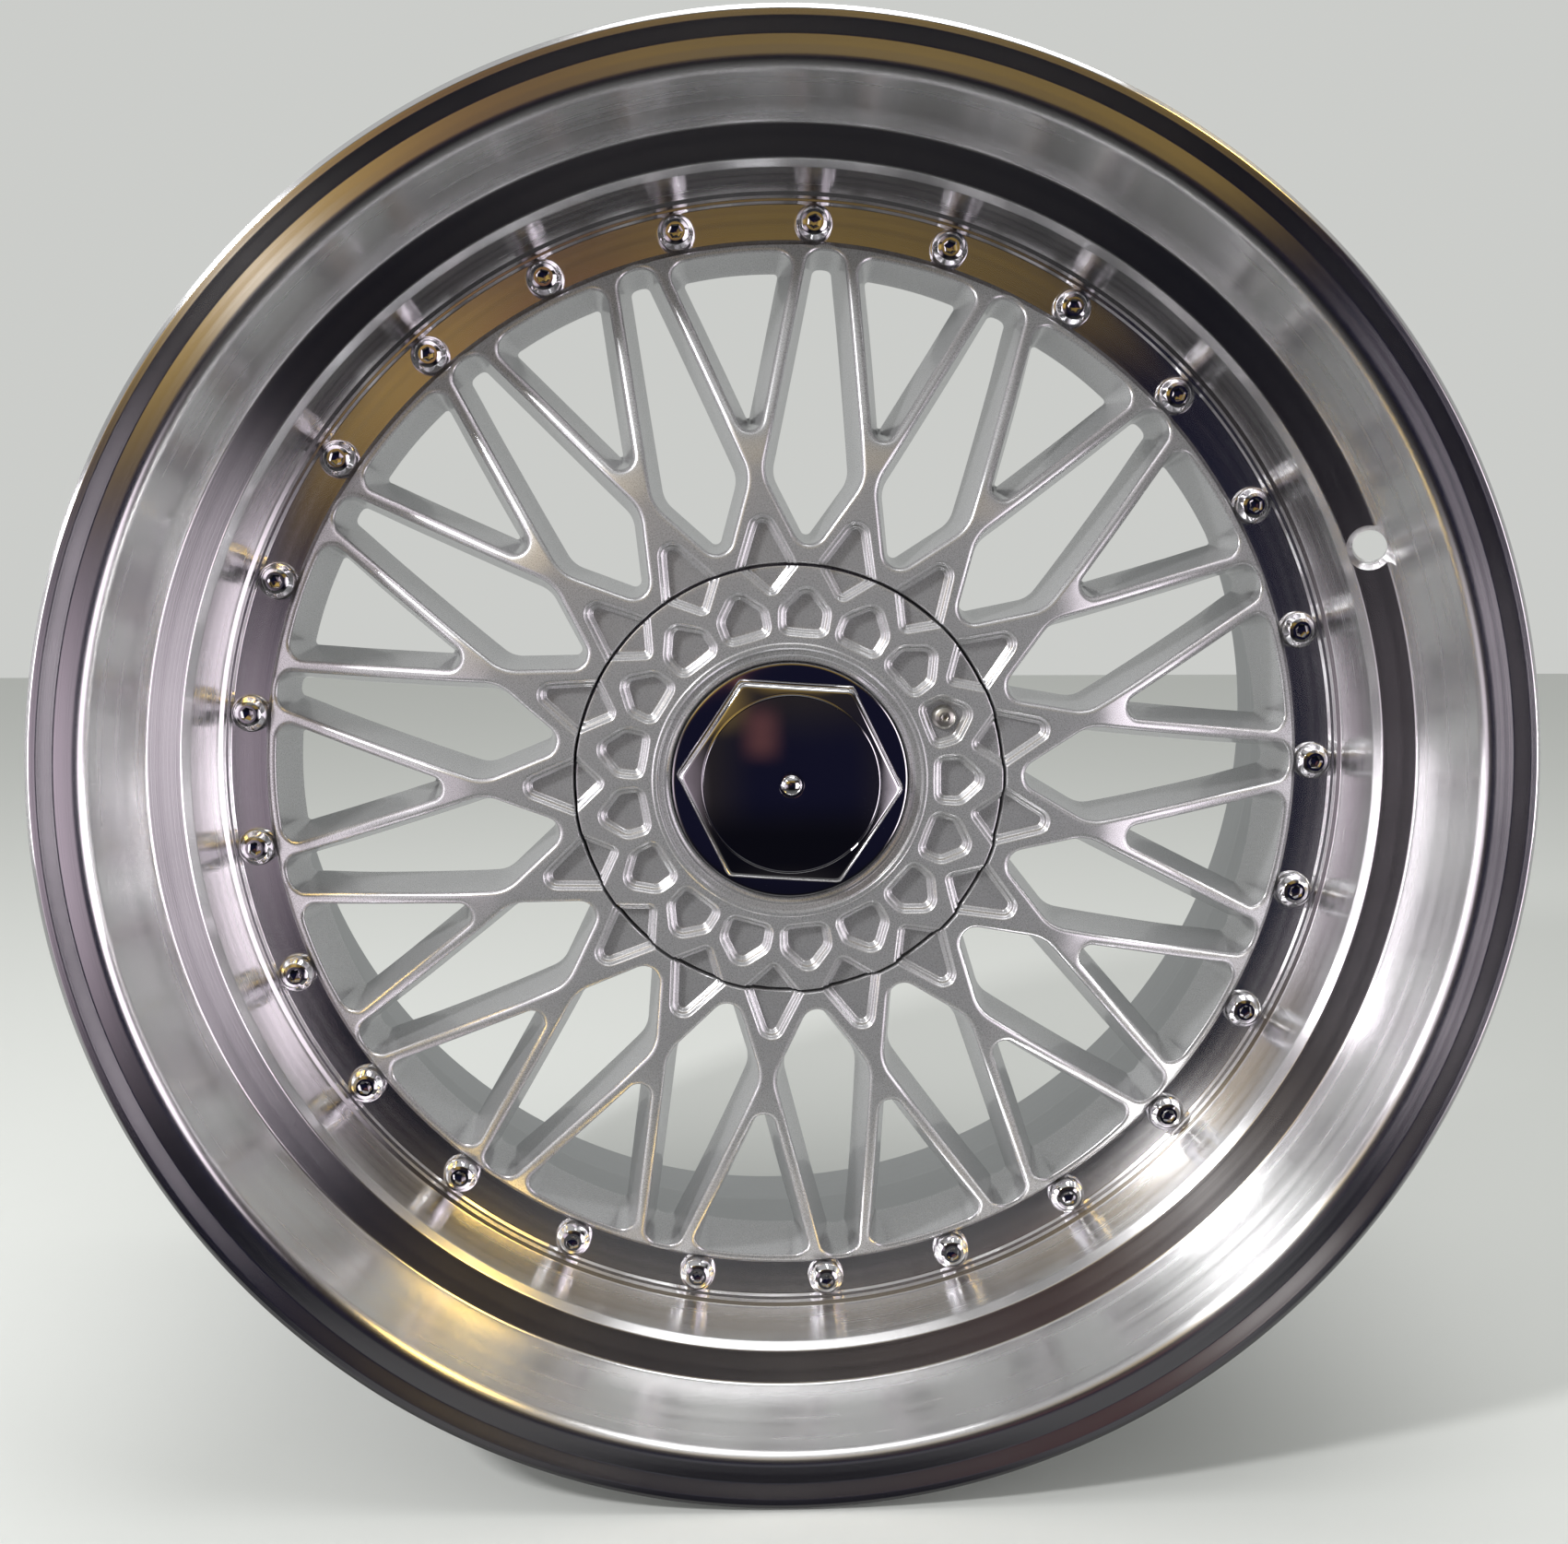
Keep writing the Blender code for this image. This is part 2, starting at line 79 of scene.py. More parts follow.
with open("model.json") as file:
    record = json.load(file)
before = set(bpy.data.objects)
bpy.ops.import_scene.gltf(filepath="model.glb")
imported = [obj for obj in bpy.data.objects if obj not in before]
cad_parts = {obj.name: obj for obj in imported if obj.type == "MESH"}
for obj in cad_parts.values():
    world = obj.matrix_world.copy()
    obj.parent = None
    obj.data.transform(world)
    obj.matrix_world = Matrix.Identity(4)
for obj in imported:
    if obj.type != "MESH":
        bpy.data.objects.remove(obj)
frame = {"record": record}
cad_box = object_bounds()
half_width = frame["record"]["size"]["bbox_m"][1] / 2 / MM


# ---------------------------------------------------------------- geometry helpers

def wheel_point(angle, radius, depth):
    turn = math.radians(angle)
    return Vector((radius * math.cos(turn), depth - half_width, radius * math.sin(turn))) * MM


def curve_through(knots, x):
    """A smooth curve through (x, y) knots."""
    if x <= knots[0][0]:
        return knots[0][1]
    slopes = [(b[1] - a[1]) / (b[0] - a[0]) for a, b in zip(knots, knots[1:])]
    tangents = [slopes[0], *[(a + b) / 2 for a, b in zip(slopes, slopes[1:])], slopes[-1]]
    for index, (start, end) in enumerate(zip(knots, knots[1:])):
        if x <= end[0]:
            span = end[0] - start[0]
            t = (x - start[0]) / span
            return (start[1] * (1 + 2 * t) * (1 - t) ** 2 + tangents[index] * span * t * (1 - t) ** 2
                    + end[1] * t * t * (3 - 2 * t) + tangents[index + 1] * span * t * t * (t - 1))
    return knots[-1][1]


def face_depth(radius):
    return curve_through(FACE, radius)


def back_depth(radius):
    return curve_through(BACK, radius)


def corner_arc(before, corner, after, radius, steps):
    """Points of the arc that rounds one corner."""
    back = (before - corner).normalized()
    ahead = (after - corner).normalized()
    half = back.angle(ahead) / 2
    centre = corner + (back + ahead).normalized() * radius / math.sin(half)
    start = corner + back * radius / math.tan(half) - centre
    end = corner + ahead * radius / math.tan(half) - centre
    sweep = start.angle_signed(end)
    return [centre + Matrix.Rotation(-sweep * step / steps, 2) @ start for step in range(steps + 1)]


def between(start, end, count):
    return [start.lerp(end, (index + 1) / (count + 1)) for index in range(count)]


def grown(corners, distance):
    """Move the sides of a clockwise polygon outwards."""
    result = []
    for index, corner in enumerate(corners):
        before = (corner - corners[index - 1]).normalized()
        after = (corners[(index + 1) % len(corners)] - corner).normalized()
        outwards = Vector((-before.y - after.y, before.x + after.x)).normalized()
        result.append(corner + outwards * distance / math.cos(before.angle(after) / 2))
    return result


def half_outline(corners, radii, growth, steps=8, spacing=3.0):
    """Right half of a rounded symmetric outline, from the axis at its top to the axis at its foot."""
    right = [Vector(corner) for corner in corners]
    left = [Vector((-corner.x, corner.y)) for corner in right[-2:0:-1]]
    sides = [max(0, round((b - a).length / spacing) - 1) for a, b in zip(right, right[1:])]
    loop = grown(right + left, growth)
    last = len(right) - 1
    points = []
    for index, radius in enumerate(radii):
        arc = corner_arc(loop[index - 1], loop[index], loop[(index + 1) % len(loop)],
                         max(radius + growth, 0.7), steps)
        if index == 0:
            arc = arc[steps // 2:]
        if index == last:
            arc = arc[:steps // 2 + 1]
        if points:
            points += between(points[-1], arc[0], sides[index - 1])
        points += arc
    return points


def open_outline(apex, foot, radius, growth, limit, steps=8, count=8):
    """Half of a pocket's outline, from its apex on the axis to where it runs out over a circle."""
    outwards = 1 if apex[1] > foot[1] else -1
    slope = (Vector(foot) - Vector(apex)).normalized()
    tip = Vector((0, apex[1] + outwards * growth / abs(slope.x)))
    arc = corner_arc(tip + Vector((-slope.x, slope.y)), tip, tip + slope, max(radius + growth, 0.6), steps)
    arc = arc[steps // 2:]
    start = arc[-1]
    along = start.dot(slope)
    travel = -along - outwards * math.sqrt(along * along - start.length_squared + limit * limit)
    end = start + slope * travel
    return arc + between(start, end, count) + [end]


def on_fork(point):
    return math.degrees(math.atan2(abs(point.x), point.y)), point.length


def on_kite(point):
    return HALF - math.degrees(math.atan2(abs(point.x), point.y)), point.length


def arc_line(start, end, radius, step=0.9):
    count = max(2, round(abs(end - start) / step))
    return [(start + (end - start) * index / count, radius) for index in range(count + 1)]


def radial_line(angle, start, end, spacing=3.0):
    count = max(2, round(abs(end - start) / spacing))
    return [(angle, start + (end - start) * index / count) for index in range(count + 1)]


class Patch:
    """Half of one spoke sector, as (angle, radius, depth) points and faces."""

    def __init__(self):
        self.points = []
        self.faces = []

    def strip(self, first, second):
        """Join two matching lines of points by quads."""
        start = len(self.points)
        count = len(first)
        self.points += list(first) + list(second)
        for index in range(count - 1):
            self.faces.append((start + index, start + index + 1,
                               start + count + index + 1, start + count + index))

    def strips(self, lines):
        for first, second in zip(lines, lines[1:]):
            self.strip(first, second)

    def fill(self, border, depth, spacing=3.2):
        """Fill a closed border of (angle, radius) points, and lift it to depth(radius)."""
        outline = []
        for angle, radius in border:
            spot = Vector((radius * math.sin(math.radians(angle)), radius * math.cos(math.radians(angle))))
            if not outline or (spot - outline[-1]).length > 0.01:
                outline.append(spot)
        if (outline[0] - outline[-1]).length < 0.01:
            outline.pop()
        inner = []
        low = min(spot.y for spot in outline)
        high = max(spot.length for spot in outline)
        for row in range(int((high - low) / spacing)):
            radius = low + (row + 0.5) * spacing
            columns = max(1, round(math.radians(HALF) * radius / spacing))
            for column in range(columns):
                turn = math.radians(HALF) * (column + 0.5) / columns
                spot = Vector((radius * math.sin(turn), radius * math.cos(turn)))
                if min((spot - other).length for other in outline) > spacing * 0.55:
                    inner.append(spot)
        verts, _, faces, *_ = delaunay_2d_cdt(outline + inner, [], [list(range(len(outline)))], 1, 1e-5)
        start = len(self.points)
        for spot in verts:
            angle = math.degrees(math.atan2(spot.x, spot.y))
            self.points.append((angle, spot.length, depth(spot.length)))
        self.faces += [tuple(start + index for index in face) for face in faces]


def spread(name, patch, phase):
    """Repeat a half sector, mirrored and turned, into a whole disc."""
    verts = []
    faces = []
    for sector in range(SPOKES):
        for side in (1, -1):
            start = len(verts)
            axis = phase + sector * PITCH
            verts += [wheel_point(axis + side * angle, radius, depth)
                      for angle, radius, depth in patch.points]
            for face in patch.faces:
                turned = tuple(start + index for index in face)
                faces.append(turned if side > 0 else turned[::-1])
    mesh = bpy.data.meshes.new(name)
    mesh.from_pydata(verts, [], faces)
    return cleaned(mesh)


def cleaned(mesh, distance=0.00001):
    bm = bmesh.new()
    bm.from_mesh(mesh)
    bmesh.ops.remove_doubles(bm, verts=bm.verts, dist=distance)
    bmesh.ops.dissolve_degenerate(bm, dist=0.000001, edges=bm.edges)
    bmesh.ops.recalc_face_normals(bm, faces=bm.faces)
    bm.to_mesh(mesh)
    bm.free()
    return mesh


def filleted(profile, steps=5):
    """Round the corners of a (radius, depth, fillet) profile."""
    spots = [Vector((radius, depth)) for radius, depth, _ in profile]
    result = []
    for index, (_, _, fillet) in enumerate(profile):
        if fillet and 0 < index < len(profile) - 1:
            result += corner_arc(spots[index - 1], spots[index], spots[index + 1], fillet, steps)
        else:
            result.append(spots[index])
    return [tuple(spot) for spot in result]


def lathe(name, profile, segments=288, closed=True, phase=0.0):
    """Spin a (radius, depth) profile about the wheel's axis."""
    rings = []
    verts = []
    for radius, depth in profile:
        count = segments if radius > 0.001 else 1
        rings.append(range(len(verts), len(verts) + count))
        verts += [wheel_point(phase + 360 * index / segments, radius, depth) for index in range(count)]
    faces = []
    pairs = list(zip(rings, rings[1:]))
    if closed:
        pairs.append((rings[-1], rings[0]))
    for first, second in pairs:
        for index in range(segments):
            other = (index + 1) % segments
            corners = [first[index % len(first)], first[other % len(first)],
                       second[other % len(second)], second[index % len(second)]]
            face = tuple(dict.fromkeys(corners))
            if len(face) > 2:
                faces.append(face)
    mesh = bpy.data.meshes.new(name)
    mesh.from_pydata(verts, [], faces)
    return cleaned(mesh)


def add_piece(name, mesh, body, nodes, material, sharp=32):
    piece = bpy.data.objects.new(name, mesh)
    bpy.context.scene.collection.objects.link(piece)
    if not mesh.materials:
        mesh.materials.append(material)
    mesh.shade_smooth()
    mesh.set_sharp_from_angle(angle=math.radians(sharp))
    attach(piece, body)
    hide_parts(*nodes)
    return piece


def weight_normals(piece):
    """Keep broad faces flat-looking next to their small fillets."""
    modifier = piece.modifiers.new("weighted_normals", "WEIGHTED_NORMAL")
    modifier.keep_sharp = True
    modifier.mode = "FACE_AREA"
    modifier.weight = 60


def boolean_mesh(name, base, cutters, operation="DIFFERENCE"):
    """Cut meshes out of a base mesh and return the result as a new mesh."""
    body = bpy.data.objects.new(name, base)
    bpy.context.scene.collection.objects.link(body)
    tools = []
    for index, cutter in enumerate(cutters):
        tool = bpy.data.objects.new(f"{name}_tool_{index}", cutter)
        bpy.context.scene.collection.objects.link(tool)
        modifier = body.modifiers.new("cut", "BOOLEAN")
        modifier.operation = operation
        modifier.solver = "EXACT"
        modifier.object = tool
        tools.append(tool)
    evaluated = body.evaluated_get(bpy.context.evaluated_depsgraph_get())
    mesh = bpy.data.meshes.new_from_object(evaluated)
    mesh.name = name
    for thing in [body, *tools]:
        bpy.data.objects.remove(thing, do_unlink=True)
    return mesh


def joined(name, meshes):
    bm = bmesh.new()
    for mesh in meshes:
        bm.from_mesh(mesh)
    result = bpy.data.meshes.new(name)
    bm.to_mesh(result)
    bm.free()
    return result


def shifted(mesh, radius, angle):
    turn = math.radians(angle)
    mesh.transform(Matrix.Translation((radius * MM * math.cos(turn), 0, radius * MM * math.sin(turn))))
    return mesh


# ---------------------------------------------------------------- rim halves

def outer_lip_mesh():
    profile = filleted([
        (188.0, JOINT_DEPTH, 0), (188.0, 72.6, 0.3), (188.9, BAND_DEPTH, 0.3), (201.4, BAND_DEPTH, 0.5),
        (202.3, 70.5, 0.3), (203.3, 70.5, 0.3), (204.0, 69.4, 0.3), (205.6, 68.6, 0.8),
        (209.0, 47.2, 2.0), (211.2, 43.9, 1.6), (222.2, 39.4, 1.8), (229.9, 2.2, 5.0),
        (239.6, 2.1, 1.6), (244.4, 0.15, 1.6), (246.6, 0.0, 1.0), (248.5, 1.6, 1.6), (248.5, 9.5, 2.0),
        (245.5, 12.0, 2.0), (236.0, 12.6, 3.0), (BEAD_SEAT_R + 0.4, 16.0, 2.0),
        (BEAD_SEAT_R - 1.0, 31.0, 2.0), (BEAD_SEAT_R + 0.6, 35.0, 2.0), (BEAD_SEAT_R - 2.0, 43.5, 3.0),
        (217.0, 52.0, 3.0), (WELL_R, 57.0, 3.0), (WELL_R, JOINT_DEPTH - 2.5, 0.3),
        (WELL_R - 2.5, JOINT_DEPTH, 0),
    ])
    base = lathe("outer_lip_turned", profile, 384)
    hole = lathe("valve_tool", [(0, -14), (5.85, -14), (5.85, 24), (0, 24)], 48, closed=False)
    chamfer = lathe("valve_chamfer", [(0, -3), (10.85, -3), (5.85, 2.0), (0, 2.0)], 48, closed=False)
    turn = Matrix.Rotation(-math.radians(VALVE_ANGLE), 4, "Y")
    spot = Matrix.Translation(wheel_point(0, VALVE_R, VALVE_DEPTH))
    tilt = Matrix.Rotation(-math.radians(VALVE_TILT), 4, "Z")
    level = Matrix.Translation((0, half_width * MM, 0))
    for tool in (hole, chamfer):
        tool.transform(turn @ spot @ tilt @ level)
    return boolean_mesh("outer_lip_machined", base, [hole, chamfer])


def inner_barrel_mesh():
    profile = filleted([
        (188.5, 86.3, 0.3), (203.2, 86.3, 0.3), (203.2, 77.8, 0.3), (WELL_R - 2.5, 77.8, 0.3),
        (WELL_R, 80.3, 0.3), (WELL_R, 186.0, 8.0), (229.0, 205.5, 4.0), (BEAD_SEAT_R + 0.6, 210.0, 2.0),
        (BEAD_SEAT_R - 1.0, 216.0, 2.0), (BEAD_SEAT_R + 0.4, 247.0, 3.0), (236.0, 251.5, 3.0),
        (245.5, 252.5, 2.0), (248.5, 255.5, 2.0), (248.5, 262.0, 1.5), (246.2, 264.3, 1.0),
        (234.0, 264.3, 3.0), (223.0, 259.0, 5.0), (222.8, 214.0, 6.0), (208.5, 190.0, 10.0),
        (208.5, 96.0, 2.0), (203.2, 93.0, 1.5), (188.5, 93.0, 0.4),
    ])
    return lathe("inner_barrel_spun", profile, 384)


# ---------------------------------------------------------------- spoked disc

KITE = [(0.0, 185.9), (6.4, 184.6), (17.1, 105.3), (0.0, 77.6)]
KITE_RADII = [12.0, 5.6, 14.0, 5.5]
FORK = [(0.0, 185.3), (23.0, 182.9), (0.0, 112.3)]
FORK_RADII = [150.0, 5.6, 4.2]
# Walls of a stamped pocket, as (inwards from its rim, below the face).
POCKET_WALL = [(0.0, 0.0), (0.3, 0.05), (0.6, 0.2), (0.85, 0.5), (1.0, 0.95), (1.12, 1.5), (1.3, 1.85),
               (1.6, 2.0), (2.0, 2.1), (2.3, 2.3), (2.5, 2.75), (2.65, 3.4), (2.85, 3.95), (3.1, 4.25),
               (3.4, 4.35)]


def opening_walls(patch, corners, radii, place, taper):
    """Rounded front edge, drafted wall and rounded back edge of a spoke opening."""
    front = 1.9
    rear = 1.2
    lines = []
    for step in range(7):
        turn = math.radians(90 * step / 6)
        growth = front * (1 - math.sin(turn))
        drop = front * (1 - math.cos(turn))
        spots = [place(point) for point in half_outline(corners, radii, growth)]
        lines.append([(angle, radius, face_depth(radius) + drop) for angle, radius in spots])
    for step in range(1, 4):
        share = step / 4
        spots = [place(point) for point in half_outline(corners, radii, -taper * share)]
        line = []
        for angle, radius in spots:
            top = face_depth(radius) + front
            bottom = back_depth(radius) - rear
            line.append((angle, radius, top + (bottom - top) * share))
        lines.append(line)
    for step in range(5):
        turn = math.radians(90 * step / 4)
        growth = -taper + rear * (1 - math.cos(turn))
        drop = rear * (1 - math.sin(turn))
        spots = [place(point) for point in half_outline(corners, radii, growth)]
        lines.append([(angle, radius, back_depth(radius) - drop) for angle, radius in spots])
    patch.strips(lines)
    front_edge = [(angle, radius) for angle, radius, _ in lines[0]]
    back_edge = [(angle, radius) for angle, radius, _ in lines[-1]]
    return front_edge, back_edge


def pocket_walls(patch, apex, foot, radius, limit, level):
    """Walls of a pocket that runs out over a circle. Returns its rim, its floor edge and the step."""
    lines = []
    for inwards, drop in POCKET_WALL:
        outline = open_outline(apex, foot, radius, -inwards, limit)
        lines.append([(*on_fork(point), level + drop) for point in outline])
    patch.strips(lines)
    rim = [(angle, spot) for angle, spot, _ in lines[0]]
    floor = [(angle, spot) for angle, spot, _ in lines[-1]]
    step = [line[-1] for line in lines]
    return rim, floor, step


def centre_disc_mesh():
    patch = Patch()
    inner = 76.3
    outer = 186.7
    level = FACE[0][1]
    kite_front, kite_back = opening_walls(patch, KITE, KITE_RADII, on_kite, 3.4)
    fork_front, fork_back = opening_walls(patch, FORK, FORK_RADII, on_fork, 4.2)
    rim, floor, step = pocket_walls(patch, (0, 101.5), (13.3, 70.0), 5.2, inner, level)

    hub_edge = arc_line(rim[-1][0], HALF, inner)
    border = (hub_edge + radial_line(HALF, inner, kite_front[-1][1]) + kite_front[::-1]
              + radial_line(HALF, kite_front[0][1], outer) + arc_line(HALF, 0, outer)
              + radial_line(0, outer, fork_front[0][1]) + fork_front
              + radial_line(0, fork_front[-1][1], rim[0][1]) + rim)
    patch.fill(border, face_depth)

    floor_depth = level + POCKET_WALL[-1][1]
    floor_edge = arc_line(0, floor[-1][0], inner)
    patch.fill(floor_edge + floor[::-1] + radial_line(0, floor[0][1], inner), lambda radius: floor_depth)

    # The seam round the cap plate, stepping down where each pocket runs into it.
    top = [(angle, radius, floor_depth) for angle, radius in floor_edge]
    top += step[::-1][1:]
    top += [(angle, radius, level) for angle, radius in hub_edge][1:]
    lines = [top, [(angle, inner - 0.15, depth + 0.15) for angle, _, depth in top],
             [(angle, inner - 0.5, depth + 0.6) for angle, _, depth in top],
             [(angle, inner - 0.5, 50.0) for angle, _, _ in top],
             [(angle, HUB_BACK_R, BACK[0][1]) for angle, _, _ in top]]
    patch.strips(lines)

    rear_inner = [(angle, HUB_BACK_R) for angle, _, _ in top]
    border = (rear_inner + radial_line(HALF, HUB_BACK_R, kite_back[-1][1]) + kite_back[::-1]
              + radial_line(HALF, kite_back[0][1], DISC_R) + arc_line(HALF, 0, DISC_R)
              + radial_line(0, DISC_R, fork_back[0][1]) + fork_back
              + radial_line(0, fork_back[-1][1], HUB_BACK_R))
    patch.fill(border, back_depth, 5.0)

    # Outside of the disc, with the flange that the lip and the barrel clamp.
    angles = [angle for angle, _ in arc_line(HALF, 0, outer)]
    edge_depth = face_depth(outer)
    flange_r = 202.6
    profile = [(outer, edge_depth), (DISC_R - 0.2, edge_depth + 0.35), (DISC_R, edge_depth + 0.9),
               (DISC_R, 77.8), (flange_r, 77.8), (flange_r, 86.0), (DISC_R, 86.0),
               (DISC_R, back_depth(DISC_R))]
    patch.strips([[(angle, radius, depth) for angle in angles] for radius, depth in profile])
    return spread("centre_disc_spokes", patch, FORK_PHASE)


def hub_mesh():
    """The hub behind the cap plate: nut cavity, lug holes, screw pillar and mounting pad."""
    profile = filleted([
        (36.55, 88.0, 0.8), (71.0, 88.0, 2.0), (71.0, 50.0, 0), (75.6, 50.0, 0),
        (HUB_BACK_R, 62.0, 0), (HUB_BACK_R, 101.5, 1.0), (74.5, 107.15, 0.8), (37.8, 107.15, 0.3),
        (36.55, 106.0, 0.3),
    ])
    hub = lathe("hub", profile, 192)
    cutters = []
    for index in range(5):
        angle = LUG_PHASE + 72 * index
        hole = lathe("lug", [(0, 80), (11.5, 80), (11.5, 88.6), (7.5, 93.0), (7.5, 120), (0, 120)],
                     40, closed=False)
        cutters.append(shifted(hole, LUG_CIRCLE_R, angle))
    hub = boolean_mesh("hub_drilled", hub, [joined("lugs", cutters)])
    reliefs = []
    for index in range(5):
        relief = lathe("relief", [(0, 100.5), (7.6, 100.5), (9.2, 102.0), (9.2, 120), (0, 120)],
                       32, closed=False)
        reliefs.append(shifted(relief, 59.5, LUG_PHASE + 36 + 72 * index))
    hub = boolean_mesh("hub_relieved", hub, [joined("reliefs", reliefs)])
    pillar = lathe("pillar", [(2.4, 50.0), (6.0, 50.0), (6.0, 90.0), (2.4, 90.0)], 32)
    return joined("hub_whole", [hub, shifted(pillar, SCREW_R, SCREW_ANGLE)])


# ---------------------------------------------------------------- cap plate

SHIELD = [(0.0, 71.3), (9.8, 60.5), (9.0, 50.2), (0.0, 50.2)]
SHIELD_RADII = [5.5, 6.0, 4.5, 30.0]


def cap_plate_mesh():
    patch = Patch()
    level = PLATE_LEVEL
    inner = 48.4
    outer = 74.4
    lines = []
    for inwards, drop in POCKET_WALL:
        outline = half_outline(SHIELD[:3] + [(0.0, 50.0)], SHIELD_RADII, -inwards, spacing=2.0)
        lines.append([(*on_kite(point), level + drop) for point in outline])
    patch.strips(lines)
    shield = [(angle, radius) for angle, radius, _ in lines[0]]
    shield_floor = [(angle, radius) for angle, radius, _ in lines[-1]]
    rim, floor, step = pocket_walls(patch, (0, 62.9), (12.0, 75.5), 3.5, outer, level)
    floor_depth = level + POCKET_WALL[-1][1]
    patch.fill(shield_floor + radial_line(HALF, shield_floor[-1][1], shield_floor[0][1], 1.5),
               lambda radius: floor_depth, 2.0)
    floor_edge = arc_line(0, floor[-1][0], outer)
    patch.fill(floor_edge + floor[::-1] + radial_line(0, floor[0][1], outer, 1.5),
               lambda radius: floor_depth, 2.0)
    edge = arc_line(rim[-1][0], HALF, outer)
    bore = arc_line(HALF, 0, inner)
    border = (edge + radial_line(HALF, outer, shield[0][1], 1.5) + shield
              + radial_line(HALF, shield[-1][1], inner, 1.0) + bore
              + radial_line(0, inner, rim[0][1], 1.5) + rim)
    patch.fill(border, lambda radius: level, 2.0)

    top = [(angle, radius, floor_depth) for angle, radius in floor_edge]
    top += step[::-1][1:]
    top += [(angle, radius, level) for angle, radius in edge][1:]
    patch.strips([top, [(angle, outer + 0.35, depth + 0.15) for angle, _, depth in top],
                  [(angle, outer + 0.5, depth + 0.6) for angle, _, depth in top],
                  [(angle, outer + 0.5, 49.7) for angle, _, _ in top],
                  [(angle, 34.6, 49.7) for angle, _, _ in top]])
    profile = filleted([
        (inner, level, 0), (47.9, level - 0.5, 0.4), (46.6, level - 0.5, 0.4), (46.1, level + 0.5, 0.3),
        (44.0, level + 0.9, 0.4), (43.5, level + 2.4, 0.4), (42.6, level + 2.7, 0.3),
        (41.9, level + 3.6, 0.3),
        (41.9, 47.2, 0.2), (34.6, 47.2, 0.2), (34.6, 49.7, 0),
    ], 3)
    patch.strips([[(angle, radius, depth) for angle, _ in bore] for radius, depth in profile])
    return spread("cap_plate_cast", patch, PLATE_PHASE)


# ---------------------------------------------------------------- centre cap and fasteners

def hexagon_radius(angle, across_flats, corner):
    """Radius of a hexagon with rounded corners, at an angle from a corner."""
    turn = math.radians((angle + 30) % 60 - 30)
    flat = across_flats / 2
    sharp = flat / math.cos(math.radians(30) - abs(turn))
    centre = (flat - corner) / math.cos(math.radians(30))
    half_arc = math.atan2(corner * math.sin(math.radians(30)), centre + corner * math.cos(math.radians(30)))
    if abs(turn) >= half_arc:
        return sharp
    return centre * math.cos(turn) + math.sqrt(corner ** 2 - (centre * math.sin(turn)) ** 2)


def ring_loft(name, rings, segments, phase=0.0):
    """Join rings given as functions of the angle from phase, each (radius, depth)."""
    verts = []
    faces = []
    for ring in rings:
        for index in range(segments):
            angle = 360 * index / segments
            radius, depth = ring(angle)
            verts.append(wheel_point(phase + angle, radius, depth))
    for row in range(len(rings) - 1):
        for index in range(segments):
            other = (index + 1) % segments
            faces.append((row * segments + index, row * segments + other,
                          (row + 1) * segments + other, (row + 1) * segments + index))
    mesh = bpy.data.meshes.new(name)
    mesh.from_pydata(verts, [], faces)
    return cleaned(mesh)


def hex_ring(across_flats, corner, depth):
    return lambda angle: (hexagon_radius(angle, across_flats, corner), depth)


def round_ring(radius, depth):
    return lambda angle: (radius, depth)


def hex_cap_mesh():
    def cone(radius):
        return 31.75 + 0.22 * (radius - 31.2)

    def chamfer(across_flats, drop):
        def spot(angle):
            radius = hexagon_radius(angle, across_flats, 1.8)
            return radius, cone(radius) + drop
        return spot

    rings = [
        # Skirt behind the cap, and the round flange that the plate sits under.
        round_ring(25.0, 76.0), round_ring(29.2, 76.0), round_ring(29.2, 43.6), round_ring(41.0, 43.4),
        round_ring(41.3, 43.1), round_ring(41.3, 41.3), round_ring(41.1, 40.9), round_ring(40.7, 40.75),
        round_ring(40.2, 40.72),
        # Hexagon, with its chamfered front edge.
        hex_ring(69.2, 1.8, 40.6), hex_ring(68.6, 1.8, 40.2), hex_ring(68.5, 1.8, 39.6),
        chamfer(68.2, 2.4), chamfer(68.0, 1.5), chamfer(67.5, 0.8), chamfer(66.6, 0.32),
        chamfer(65.6, 0.08), chamfer(65.0, 0.0), chamfer(64.4, 0.0),
        # Groove round the dome.
        round_ring(31.6, cone(31.6)), round_ring(31.25, cone(31.2) + 0.02), round_ring(31.05, 31.9),
        round_ring(30.85, 32.1), round_ring(30.6, 32.0), round_ring(30.45, 31.7),
    ]
    for step in range(17):
        radius = 30.3 - (30.3 - 4.6) * step / 16
        rings.append(round_ring(radius, 28.4 + 2.9 * (radius / 30.2) ** 2))
    rings += [round_ring(4.4, 28.5), round_ring(4.3, 28.9), round_ring(0.01, 28.9)]
    return ring_loft("hex_cap_chromed", rings, 192, HEX_PHASE)


def cap_stud_mesh():
    turns = [math.radians(9 * step) for step in range(10)]
    dome = [(3.7 * math.sin(turn), 28.6 - 2.5 * math.cos(turn)) for turn in turns]
    return lathe("cap_stud_turned", [*dome, (3.9, 28.6), (3.9, 28.8), (0, 28.8)], 48, closed=False)


def hex_socket(across_flats, front, bottom):
    return ring_loft("socket", [round_ring(0.001, front), hex_ring(across_flats, 0.15, front),
                                hex_ring(across_flats, 0.15, bottom), round_ring(0.001, bottom + 0.8)], 48)


